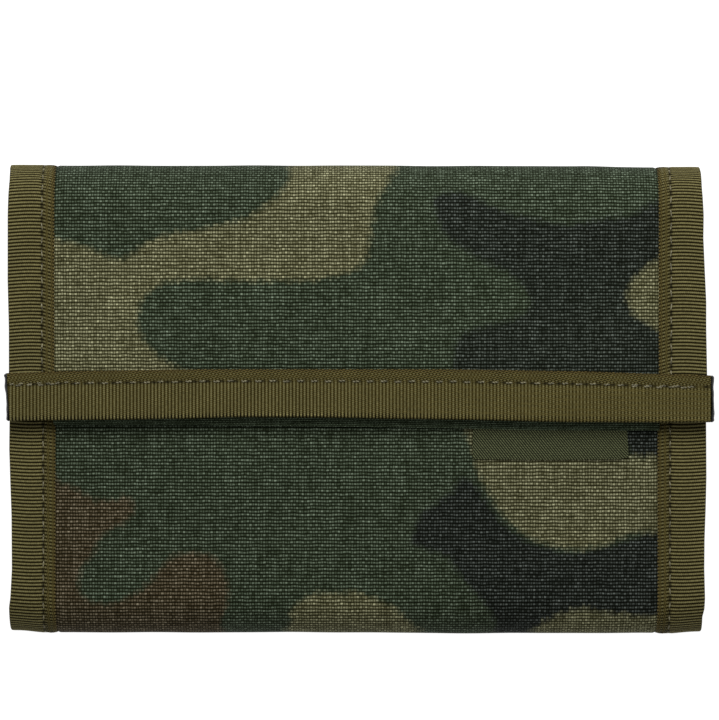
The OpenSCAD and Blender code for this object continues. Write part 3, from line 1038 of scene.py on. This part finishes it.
# ---------------------------------------------------------------- stitches


def taken_apart(piece):
    """(points, faces) of a piece, which is then removed."""
    spots = points_of(piece)
    faces = [list(face.vertices) for face in piece.data.polygons]
    bpy.data.objects.remove(piece)
    return spots, faces


def repeated(name, made, faces):
    """One piece of many like parts: made holds each part's points, and faces those of one part."""
    count, each = made.shape[:2]
    mesh = bpy.data.meshes.new(name)
    mesh.from_pydata(
        made.reshape(-1, 3).tolist(), [],
        [[k * each + i for i in face] for k in range(count) for face in faces],
    )
    piece = bpy.data.objects.new(name, mesh)
    bpy.context.scene.collection.objects.link(piece)
    return piece


def stitch_template():
    """One stitch, 1 metre long along X: a thin six-sided thread whose ends dive into the cloth."""
    deselect()
    bpy.ops.mesh.primitive_cylinder_add(
        vertices=6, radius=1, depth=1, end_fill_type="TRIFAN", rotation=(0, math.pi / 2, 0)
    )
    stitch = bpy.context.object
    bpy.ops.object.transform_apply(location=True, rotation=True, scale=True)
    bpy.ops.object.mode_set(mode="EDIT")
    for share in (-0.3, 0.0, 0.3):
        bpy.ops.mesh.select_all(action="SELECT")
        bpy.ops.mesh.bisect(plane_co=(share, 0, 0), plane_no=(1, 0, 0))
    bpy.ops.object.mode_set(mode="OBJECT")
    return taken_apart(stitch)


def sew(name, starts, ends, ups, radius):
    """A row of stitches, each from a start to an end, standing up along its up direction."""
    spots, faces = stitch_template()
    bulge = 0.55
    starts, ends, ups = (np.array(a, float).reshape(-1, 3) for a in (starts, ends, ups))
    run = ends - starts
    sideways = np.cross(ups, run)
    sideways /= np.linalg.norm(sideways, axis=1, keepdims=True)
    t = spots[:, 0] + 0.5
    rise = (np.sin(np.clip(t, 0, 1) * math.pi) ** 0.6 - 0.55) * 2 * bulge * radius
    fine = np.where((t < 0.05) | (t > 0.95), 0.55, 1.0) * radius
    made = (
        starts[:, None] + run[:, None] * t[None, :, None]
        + ups[:, None] * (rise + spots[:, 2] * fine)[None, :, None]
        + sideways[:, None] * (spots[:, 1] * fine)[None, :, None]
    )
    piece = repeated(name, made, faces)
    edit_all(piece)
    face_outwards()
    smooth(piece)
    dress(piece, "thread")
    return piece


def strip_stitches():
    """The sewing along the flap edge tape, on both faces, with back-tacks at its ends."""
    left, right = STRIP_SPAN
    # Each row's begin, stop, shift across the tape, stitch pitch and lead before its first stitch
    rows = [
        (left + 12.5 * MM, right - 0.6 * MM, 0.0, 2.6 * MM, 0.0),
        (left + 0.5 * MM, left + 13 * MM, 0.12 * MM, 1.7 * MM, 0.0),
        (left + 1.2 * MM, left + 12 * MM, -0.12 * MM, 2.1 * MM, 0.4 * MM),
        (right - 16 * MM, right - 1.5 * MM, -0.2 * MM, 2.3 * MM, 1.2 * MM),
    ]
    starts, ends, ups = [], [], []
    for begin, stop, shift, pitch, lead in rows:
        for k in range(int((stop - begin - lead) / pitch)):
            x = begin + lead + k * pitch
            wobble = 0.06 * MM * math.sin(2.4 * k)
            flecks = [(0.0, 0.08), (0.24, -0.1)], [(0.2, 0.12), (0.46, 0.0)]
            for up, fleck in [(1, flecks[0]), (1, flecks[1]), (-1, flecks[0]), (-1, flecks[1])]:
                spots = []
                for part, turn in fleck:
                    at = x + part * pitch
                    y = STRIP_HIGH.y - SEW_IN + shift + turn * MM + wobble
                    y = y + strip_sag(at, SEW_IN / (STRIP_HIGH.y - STRIP_LOW.y))
                    z = STRIP_HIGH.z - 0.08 * MM if up > 0 else STRIP_LOW.z - 0.12 * MM
                    spots.append((at, float(y), z))
                starts.append(spots[0])
                ends.append(spots[1])
                ups.append((0, 0, up))
    piece = sew("flap_edge_stitches", starts, ends, ups, 0.14 * MM)
    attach(piece, "flap")


def side_stitches(run, sizes):
    """The sewing down both side tapes of a run."""
    gap = 0.34
    count = int(run.length / sizes.stitch_pitch)
    starts, ends, ups = [], [], []
    for left in (True, False):
        for k in range(count):
            a = (k + gap) * sizes.stitch_pitch
            b = (k + 1 - gap * 0.4) * sizes.stitch_pitch
            zig = 0.08 * MM * (-1) ** k
            spots = []
            for along, turn in ((a, zig), (b, -zig)):
                y, z = run.place(np.array(along), np.array(0.03 * MM))
                out = TAPE_X + SEW_IN + turn + swell(y, left) * 0.07
                x = -out if left else out
                spots.append((x, float(y + run.proud(x, along)), float(z)))
            deep_y, deep_z = run.place(np.array((a + b) / 2), np.array(MM))
            top_y, top_z = run.place(np.array((a + b) / 2), np.array(0.0))
            up = np.array([0, float(top_y - deep_y), float(top_z - deep_z)])
            starts.append(spots[0])
            ends.append(spots[1])
            ups.append(up / np.linalg.norm(up))
    piece = sew(run.name + "_side_stitches", starts, ends, ups, sizes.thread_radius)
    run.bend(piece)


# ---------------------------------------------------------------- flat sheets and linings


def flat_sheet(name, x_span, y_span, face, up, thickness, cell=2.5 * MM, shape=None, window=None):
    """A sheet lying flat, whose face looks up (1) or down (-1) at the height given."""
    wide, tall = x_span[1] - x_span[0], y_span[1] - y_span[0]
    piece, across, down = new_grid(name, max(round(wide / cell), 2), max(round(tall / cell), 2))
    x, y = x_span[0] + across * wide, y_span[0] + down * tall
    z = np.full_like(x, face)
    write_uv(piece, x, y)
    if shape:
        x, y, z = shape(x, y, z)
    move_points(piece, x, y, z)
    if window:
        cut_window(piece, window)
    face_towards(piece, (0, 0, up))
    thicken(piece, thickness)
    smooth(piece)
    return piece


def rippled(amount, start):
    """A shape for flat_sheet: gentle waves."""

    def shape(x, y, z):
        return x, y, z + amount * wander(x / (37 * MM), start) * wander(y / (23 * MM), start + 1)

    return shape


def sheet_of_node(node, up, finish, slot_name, body, rests=None, name=None, **options):
    """A sheet in the place of a frame node of the same outline."""
    lo, hi = low(node), high(node)
    face = hi.z if up > 0 else lo.z
    piece = flat_sheet(
        name or node + "_sheet", (lo.x, hi.x), (lo.y, hi.y), face, up, hi.z - lo.z, **options
    )
    dress(piece, finish)
    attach(piece, body)
    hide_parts(node)


def cut_window(piece, window):
    """Cuts a rectangle (left, right, bottom, top) out of a flat sheet, along its cells."""
    left, right, bottom, top = window
    activate(piece)
    bpy.ops.object.mode_set(mode="EDIT")
    bpy.ops.mesh.select_mode(type="FACE")
    bpy.ops.mesh.select_all(action="DESELECT")
    bpy.ops.object.mode_set(mode="OBJECT")
    for face in piece.data.polygons:
        spot = face.center
        face.select = left < spot.x < right and bottom < spot.y < top
    bpy.ops.object.mode_set(mode="EDIT")
    bpy.ops.mesh.delete(type="FACE")
    bpy.ops.mesh.select_mode(type="VERT")
    bpy.ops.object.mode_set(mode="OBJECT")


def windowed_sheet(name, nodes, up, window, body, shape=None):
    """A lining sheet with a rectangle cut out of it, in the place of one or two frame nodes."""
    lo, hi = low(nodes[0]), high(nodes[-1])
    piece = flat_sheet(
        name, (lo.x, hi.x), (lo.y, hi.y), hi.z if up > 0 else lo.z, up, hi.z - lo.z, 1.0 * MM,
        shape=shape, window=window,
    )
    dress(piece, "lining")
    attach(piece, body)
    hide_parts(*nodes)


def lining_panel(run, node, fold_node):
    """The lining of one run, inside its cloth, a little narrower round the fold."""
    half = high(fold_node).x
    near = TAPE_T + 0.9 * MM
    far = 2 * run.radius - low(node).z if run.up > 0 else high(node).z
    rows = round(run.length / (0.9 * MM))
    piece, across, down = new_grid(run.name + "_lining_sheet", 44, rows)
    along = down * run.length
    at_fold = 1 - smooth_step((along - 0.6 * run.arc) / (8 * MM))
    x = (across * 2 - 1) * (half - (half - TAPE_X - 2.5 * MM) * at_fold)
    depth = near + (far - near) * smooth_step((along - run.arc) / (6 * MM))
    depth = depth + 0.05 * MM * wander(along / (19 * MM), 1.5) * wander(x / (33 * MM), 0.5)
    y, z = run.place(along, depth)
    move_points(piece, x, y, z)
    write_uv(piece, x, along)
    face_towards(piece, (0, 0, -run.up))
    make_up(piece, LINING_SHEET, "lining")
    run.bend(piece)
    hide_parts(node, fold_node)


# Where the hem's weave starts, well away from the other cloth's
FRONT_HEM_V = 200 * MM
HEM_PATCHES = {
    "tan": [[(16, 16), (24, 6), (34, 4), (48, 5), (60, 4), (62, 14), (44, 20), (28, 21)]],
    "black": [[(-30, 2), (-12, 4), (2, 10), (10, 22), (2, 30), (-36, 30), (-44, 16)]],
    "brown": [],
}
# Height of the hem's lower edge, along X, in millimetres
HEM_EDGE = [(-57, -4.9), (-30, -5.0), (0, -5.3), (20, -5.6), (30, -5.9), (57, -6.0)]


def front_hem():
    """The folded hem along the front panel's top, which runs on up under the flap as the tongue."""
    half = high("tongue_hem").x + 0.3 * MM
    top = high("tongue_hem").y
    piece, across, down = new_grid("front_hem", 140, 70)
    x = (across * 2 - 1) * half
    knots = np.array(HEM_EDGE) * MM
    width = top - np.interp(x, knots[:, 0], knots[:, 1])
    fold = 0.75 * MM
    share = 0.02 + 0.98 * down**0.6
    out, depth = folded_tape(share, width.mean(), fold, 0.35 * MM, 16 * MM)
    y = top - out * width / width.mean()
    z = HEM_Z - depth + 0.06 * MM * wander(x / (21 * MM), 2.0)
    move_points(piece, x, y, z)
    write_uv(piece, x, FRONT_HEM_V - out)
    face_towards(piece, (0, 0, 1))
    print_cloth(piece, np.stack([x, y], axis=1) / MM, HEM_PATCHES)
    # painted light: the hem's cloth is painted brighter than the other cloth
    make_up(piece, LINING_SHEET, "hem_cloth")
    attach(piece, "front")
    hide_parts("tongue_hem", "tongue_shell")


def label_piece():
    """The blank woven label, its top caught under the hem."""
    lo, hi = low("woven_label"), high("woven_label")
    caught = hi.y + 3.6 * MM

    def shape(x, y, z):
        down = np.clip((hi.y - y) / (hi.y - lo.y), 0, 1)
        z = z - 0.6 * MM * smooth_step((y - hi.y) / MM + 1)
        near_end = np.minimum(x - lo.x, hi.x - x) / MM
        z = z - 0.12 * MM * np.exp(-near_end / 0.5) - 0.14 * MM * np.exp(-(1 - down) * 9)
        z = z + 0.06 * MM * wander(x / (14 * MM), 1.0) + 0.35 * MM * down**3
        corner = np.exp(-(((x - hi.x) / (1.2 * MM)) ** 2)) * down**6
        y = y + 0.3 * MM * corner - 0.12 * MM * np.sin((x - lo.x) / (hi.x - lo.x) * math.pi) * down
        x = x + 0.35 * MM * (down - 0.5) * smooth_step((x - lo.x) / (hi.x - lo.x))
        return x, y, z

    piece = flat_sheet(
        "blank_label", (lo.x, hi.x), (lo.y, caught), hi.z + 0.2 * MM, 1, 0.3 * MM, 0.6 * MM, shape
    )
    dress(piece, "label")
    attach(piece, "front")
    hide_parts("woven_label")


# ---------------------------------------------------------------- small repeated parts


def ring_template(radius, wire, axis, angle, sides, steps):
    """(points, faces) of a bent wire: a small circle spun round the axis, its ends closed."""
    deselect()
    bpy.ops.mesh.primitive_circle_add(vertices=sides, radius=wire)
    ring = bpy.context.object
    bpy.ops.object.mode_set(mode="EDIT")
    bpy.ops.mesh.select_all(action="SELECT")
    centre = (radius, 0, 0) if axis[1] else (0, radius, 0)
    bpy.ops.transform.translate(value=centre)
    bpy.ops.mesh.spin(steps=steps, angle=angle, center=(0, 0, 0), axis=axis)
    bpy.ops.mesh.select_all(action="SELECT")
    seal(wire * 0.05)
    return taken_apart(ring)


def copies(name, spots, faces, places):
    """One piece made of copies of a template, one at each place."""
    piece = repeated(name, np.array(places, float)[:, None] + spots[None], faces)
    smooth(piece)
    return piece


def zip_row(name, node, towards, start):
    """One side of the zip: a row of flattened coil turns that reach past the middle."""
    lo, hi = low(node), high(node)
    reach = 1.95 * MM
    spots, faces = ring_template(1.0, 0.42, (1, 0, 0), 2 * math.pi, 6, 10)
    spots = spots * np.array([0.55, 0.68, 0.42]) * MM
    centre_y = (lo.y if towards > 0 else hi.y) + towards * reach / 2
    centre_z = (lo.z + hi.z) / 2
    pitch, margin = 1.3 * MM, 0.4 * MM
    places = [(x, centre_y, centre_z) for x in np.arange(lo.x + start, hi.x - margin, pitch)]
    piece = copies(name, spots, faces, places)
    dress(piece, "coil")
    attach(piece, "front")
    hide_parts(node)


def hook_field(node):
    """Hook tape: a woven backing covered in small stiff hooks."""
    lo, hi = low(node), high(node)
    sheet_of_node(
        node, 1, "hook", "hook_tape", "front", name="hook_backing", rests=["front_hem"]
    )
    spots, faces = ring_template(0.32 * MM, 0.09 * MM, (0, 1, 0), math.pi * 1.3, 5, 7)
    spots = spots + np.array([0, 0, 0.12 * MM])
    pitch_x, pitch_y, stagger = 1.25 * MM, 1.15 * MM, 0.6 * MM
    places = []
    for row, y in enumerate(np.arange(lo.y + 0.8 * MM, hi.y - 0.5 * MM, pitch_y)):
        for x in np.arange(lo.x + 0.9 * MM + (row % 2) * stagger, hi.x - 0.8 * MM, pitch_x):
            places.append((x, y, hi.z))
    piece = copies("hook_pile", spots, faces, places)
    dress(piece, "hook")
    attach(piece, "front")


def loop_field(node):
    """Loop tape: a soft pile, its surface all small tufts."""

    def shape(x, y, z):
        edge = np.minimum.reduce([x - lo.x, hi.x - x, y - lo.y, hi.y - y])
        pile = 0.35 * MM * (1 - np.exp(-np.maximum(edge, 0) / (0.4 * MM)))
        chance = np.random.default_rng(7).normal(0, 0.13 * MM, len(x))
        return x, y, z + 0.4 * MM - pile - chance * (edge > 0.3 * MM)

    lo, hi = low(node), high(node)
    sheet_of_node(
        node, -1, "loop", "loop_tape", "flap", name="loop_pile", cell=0.55 * MM, shape=shape,
        rests=["flap_lining_sheet"],
    )


# ---------------------------------------------------------------- operators


def settings():
    """The scene's wallet settings."""
    return bpy.context.scene.wallet_sizes, bpy.context.scene.wallet_colours


class WALLET_OT_finishes(Operator):
    """Make every finish"""

    bl_idname = "wallet.finishes"
    bl_label = "Finishes"

    def execute(self, context):
        make_finishes(*settings())
        return {"FINISHED"}


class WALLET_OT_outer_cloth(Operator):
    """Make the outer cloth of the flap, the front panel and the back"""

    bl_idname = "wallet.outer_cloth"
    bl_label = "Outer cloth"

    def execute(self, context):
        sizes, _ = settings()
        end_dips = {"flap": 5.6 * MM, "front": 0.0, "back_upper": -20 * MM, "back_lower": -20 * MM}
        for name, run in RUNS.items():
            piece = cloth_panel(run, sizes, end_dips[name])
            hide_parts(*run.nodes("shell"))
        return {"FINISHED"}


class WALLET_OT_side_tapes(Operator):
    """Make the bindings down both sides"""

    bl_idname = "wallet.side_tapes"
    bl_label = "Side tapes"

    def execute(self, context):
        sizes, _ = settings()
        for run in RUNS.values():
            for side in ("left", "right"):
                piece = side_tape(run, side == "left", sizes)
                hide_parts(*run.nodes("binding_" + side))
        return {"FINISHED"}


class WALLET_OT_edge_strip(Operator):
    """Make the binding along the flap's free edge, with its melted ends"""

    bl_idname = "wallet.edge_strip"
    bl_label = "Flap edge tape"

    def execute(self, context):
        sizes, _ = settings()
        edge_strip(sizes)
        cut_end(True)
        cut_end(False)
        return {"FINISHED"}


class WALLET_OT_front_edge(Operator):
    """Make the front panel's hem and tongue, its lining, its top binding and the blank label"""

    bl_idname = "wallet.front_edge"
    bl_label = "Front hem, tongue and label"

    def execute(self, context):
        sizes, _ = settings()
        front_hem()
        sheet_of_node("tongue_lining", -1, "lining", "lining_cloth", "front", name="tongue_inside",
                      shape=rippled(0.06 * MM, 2.0))
        lo, hi = low("tongue_binding"), high("tongue_binding")
        tape = binding(
            "tongue_tape", True, (lo.x, hi.x), lo.y, hi.y, (lo.z, hi.z), sizes, short=0.2 * MM
        )
        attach(tape, "front")
        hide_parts("tongue_binding")
        label_piece()
        return {"FINISHED"}


class WALLET_OT_touch_tapes(Operator):
    """Make the hook tape and the loop tape"""

    bl_idname = "wallet.touch_tapes"
    bl_label = "Hook and loop tapes"

    def execute(self, context):
        hook_field("hook_tape")
        loop_field("loop_tape")
        return {"FINISHED"}


class WALLET_OT_linings(Operator):
    """Make the flap's foam and the linings of the three panels and the two folds"""

    bl_idname = "wallet.linings"
    bl_label = "Linings"

    def execute(self, context):
        self.flap_foam()
        for run in RUNS.values():
            lining_panel(run, *run.nodes("lining"))
        return {"FINISHED"}

    def flap_foam(self):
        lo, hi = low("flap_padding"), high("flap_padding")
        piece = flat_sheet(
            "flap_foam", (lo.x, hi.x), (lo.y + FLAP_SHORT, hi.y), hi.z, 1, hi.z - lo.z, 2 * MM
        )
        dress(piece, "foam")
        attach(piece, "flap")
        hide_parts("flap_padding")


class WALLET_OT_pockets(Operator):
    """Make the note pocket, the card pockets and their window"""

    bl_idname = "wallet.pockets"
    bl_label = "Pockets"

    def execute(self, context):
        sizes, _ = settings()
        sheet_of_node("note_pocket_wall", 1, "lining", "lining_cloth", "back",
                      shape=rippled(0.1 * MM, 1.0))
        self.trim("note_pocket_trim", False, 1, sizes)
        for place, start in (("rear", 1.0), ("middle", 2.0)):
            sheet_of_node("card_pocket_" + place, 1, "lining", "lining_cloth", "back",
                          shape=rippled(0.12 * MM, start))
        self.front_pocket()
        for place in ("rear", "middle", "front"):
            self.trim("card_trim_" + place, True, 1, sizes)
        self.trim("card_tape_left", False, -1, sizes)
        self.trim("card_tape_right", False, 1, sizes)
        self.trim("card_tape_bottom", True, -1, sizes)
        return {"FINISHED"}

    def trim(self, node, along_x, outward, sizes):
        lo, hi = low(node), high(node)
        span = (lo.x, hi.x) if along_x else (lo.y, hi.y)
        across = (lo.y, hi.y) if along_x else (lo.x, hi.x)
        inner, outer = across if outward > 0 else across[::-1]
        piece = binding(
            node + "_woven", along_x, span, inner, outer, (lo.z, hi.z), sizes, short=0.2 * MM
        )
        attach(piece, "back")
        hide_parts(node)

    def front_pocket(self):
        window = (-33 * MM, 33 * MM, -30.6 * MM, -6.6 * MM)
        windowed_sheet(
            "card_pocket_front_sheet", ["card_pocket_front"], 1, window, "back"
        )
        sheet_of_node("id_window", 1, "film", "clear_film", "back", name="window_film",
                      shape=rippled(0.05 * MM, 3.0))


class WALLET_OT_zip(Operator):
    """Make the coin pocket's wall and zip, and finish the frame's metal parts and foam pads"""

    bl_idname = "wallet.zip"
    bl_label = "Coin pocket and zip"

    def execute(self, context):
        self.coin_wall()
        for node in ("zip_tape_upper", "zip_tape_lower"):
            sheet_of_node(node, -1, "zip_tape", "zip_tape", "front", cell=1.2 * MM,
                          rests=["front_padding"])
        zip_row("zip_row_lower", "zip_coil_lower", 1, 0.4 * MM)
        zip_row("zip_row_upper", "zip_coil_upper", -1, 1.05 * MM)

        def curl(x, y, z):
            lift = smooth_step((high("zip_ribbon").x - x) / (5 * MM))
            return x, y, z - 0.35 * MM * np.sin(lift * math.pi) + 0.1 * MM * wander(x / (9 * MM), 1.0)

        sheet_of_node("zip_ribbon", -1, "tape", "binding_tape", "zip_slider", name="puller_ribbon",
                      cell=0.5 * MM, shape=curl, rests=["zip_slider"])
        for node in ("zip_slider", "zip_stop_open", "zip_stop_closed"):
            finish_node(node, "metal")
        for node in ("back_padding", "front_padding"):
            finish_node(node, "foam")
        return {"FINISHED"}

    def coin_wall(self):
        slot = (-49 * MM, 49 * MM, -16 * MM, -10 * MM)
        windowed_sheet(
            "coin_wall", ["coin_wall_lower", "coin_wall_upper"], -1, slot, "front",
            rippled(0.08 * MM, 1.3),
        )


def finish_node(node, finish):
    """Gives a frame node that stays its finish."""
    piece = bpy.data.objects[node]
    if not piece.data.materials:
        piece.data.materials.append(FINISHES[finish])
    for slot in piece.material_slots:
        slot.material = FINISHES[finish]


class WALLET_OT_stitches(Operator):
    """Sew the tapes down"""

    bl_idname = "wallet.stitches"
    bl_label = "Stitches"

    def execute(self, context):
        sizes, _ = settings()
        for run in RUNS.values():
            side_stitches(run, sizes)
        strip_stitches()
        return {"FINISHED"}


class WALLET_OT_stage(Operator):
    """Make the floor, the lights and the camera"""

    bl_idname = "wallet.stage"
    bl_label = "Stage"

    def execute(self, context):
        deselect()
        floor_size, floor_gap = 6, 0.25 * MM
        bpy.ops.mesh.primitive_plane_add(size=floor_size, location=(0, 0, -floor_gap))
        floor = bpy.context.object
        floor.name = "floor"
        white = Finish("studio floor")
        white.surface(Base_Color=(0.25, 0.25, 0.25, 1.0), Roughness=0.9)
        white.surface(Emission_Color=(1.0, 1.0, 1.0, 1.0), Emission_Strength=0.95)
        floor.data.materials.append(white.material)
        world = bpy.data.worlds.new("studio")
        bpy.context.scene.world = world
        world.use_nodes = True
        sky = world.node_tree.nodes["Background"]
        sky.inputs["Color"].default_value = (1, 1, 1, 1)
        sky.inputs["Strength"].default_value = 0.38
        bpy.ops.object.light_add(type="AREA", location=(0.0, 0.25, 0.36))
        key = bpy.context.object
        key.name = "key"
        key.data.size = 0.25
        key.data.energy = 1.95
        key.rotation_euler = (math.radians(-36), 0, 0)
        height, seen_width, sensor = 0.9, 134.31 * MM, 36
        bpy.ops.object.camera_add(location=(0.56 * MM, 7.2 * MM, height), rotation=(0, 0, 0))
        camera = bpy.context.object
        camera.name = "camera"
        camera.data.sensor_width = sensor
        camera.data.lens = sensor * (height - FLAP_Z) / seen_width
        bpy.context.scene.camera = camera
        bpy.context.scene.view_settings.view_transform = "Standard"
        return {"FINISHED"}


class WALLET_PT_panel(Panel):
    """Lists the wallet's operators and settings"""

    bl_idname = "WALLET_PT_panel"
    bl_label = "Trifold wallet"
    bl_space_type = "VIEW_3D"
    bl_region_type = "UI"
    bl_category = "Wallet"

    def draw(self, context):
        for step in STEPS:
            self.layout.operator(step.bl_idname)
        for group in (context.scene.wallet_sizes, context.scene.wallet_colours):
            for name in group.__annotations__:
                self.layout.prop(group, name)


STEPS = [
    WALLET_OT_stage,
    WALLET_OT_finishes,
    WALLET_OT_outer_cloth,
    WALLET_OT_side_tapes,
    WALLET_OT_edge_strip,
    WALLET_OT_front_edge,
    WALLET_OT_touch_tapes,
    WALLET_OT_linings,
    WALLET_OT_pockets,
    WALLET_OT_zip,
    WALLET_OT_stitches,
]
CLASSES = [WalletSizes, WalletColours, *STEPS, WALLET_PT_panel]


def register():
    """Registers the classes and the scene's settings."""
    for cls in CLASSES:
        bpy.utils.register_class(cls)
    bpy.types.Scene.wallet_sizes = PointerProperty(type=WalletSizes)
    bpy.types.Scene.wallet_colours = PointerProperty(type=WalletColours)


def unregister():
    """Removes them again."""
    del bpy.types.Scene.wallet_colours
    del bpy.types.Scene.wallet_sizes
    for cls in reversed(CLASSES):
        bpy.utils.unregister_class(cls)


def main():
    """Builds the wallet."""
    register()
    for step in STEPS:
        group, name = step.bl_idname.split(".")
        getattr(getattr(bpy.ops, group), name)()


if __name__ == "__main__":
    main()
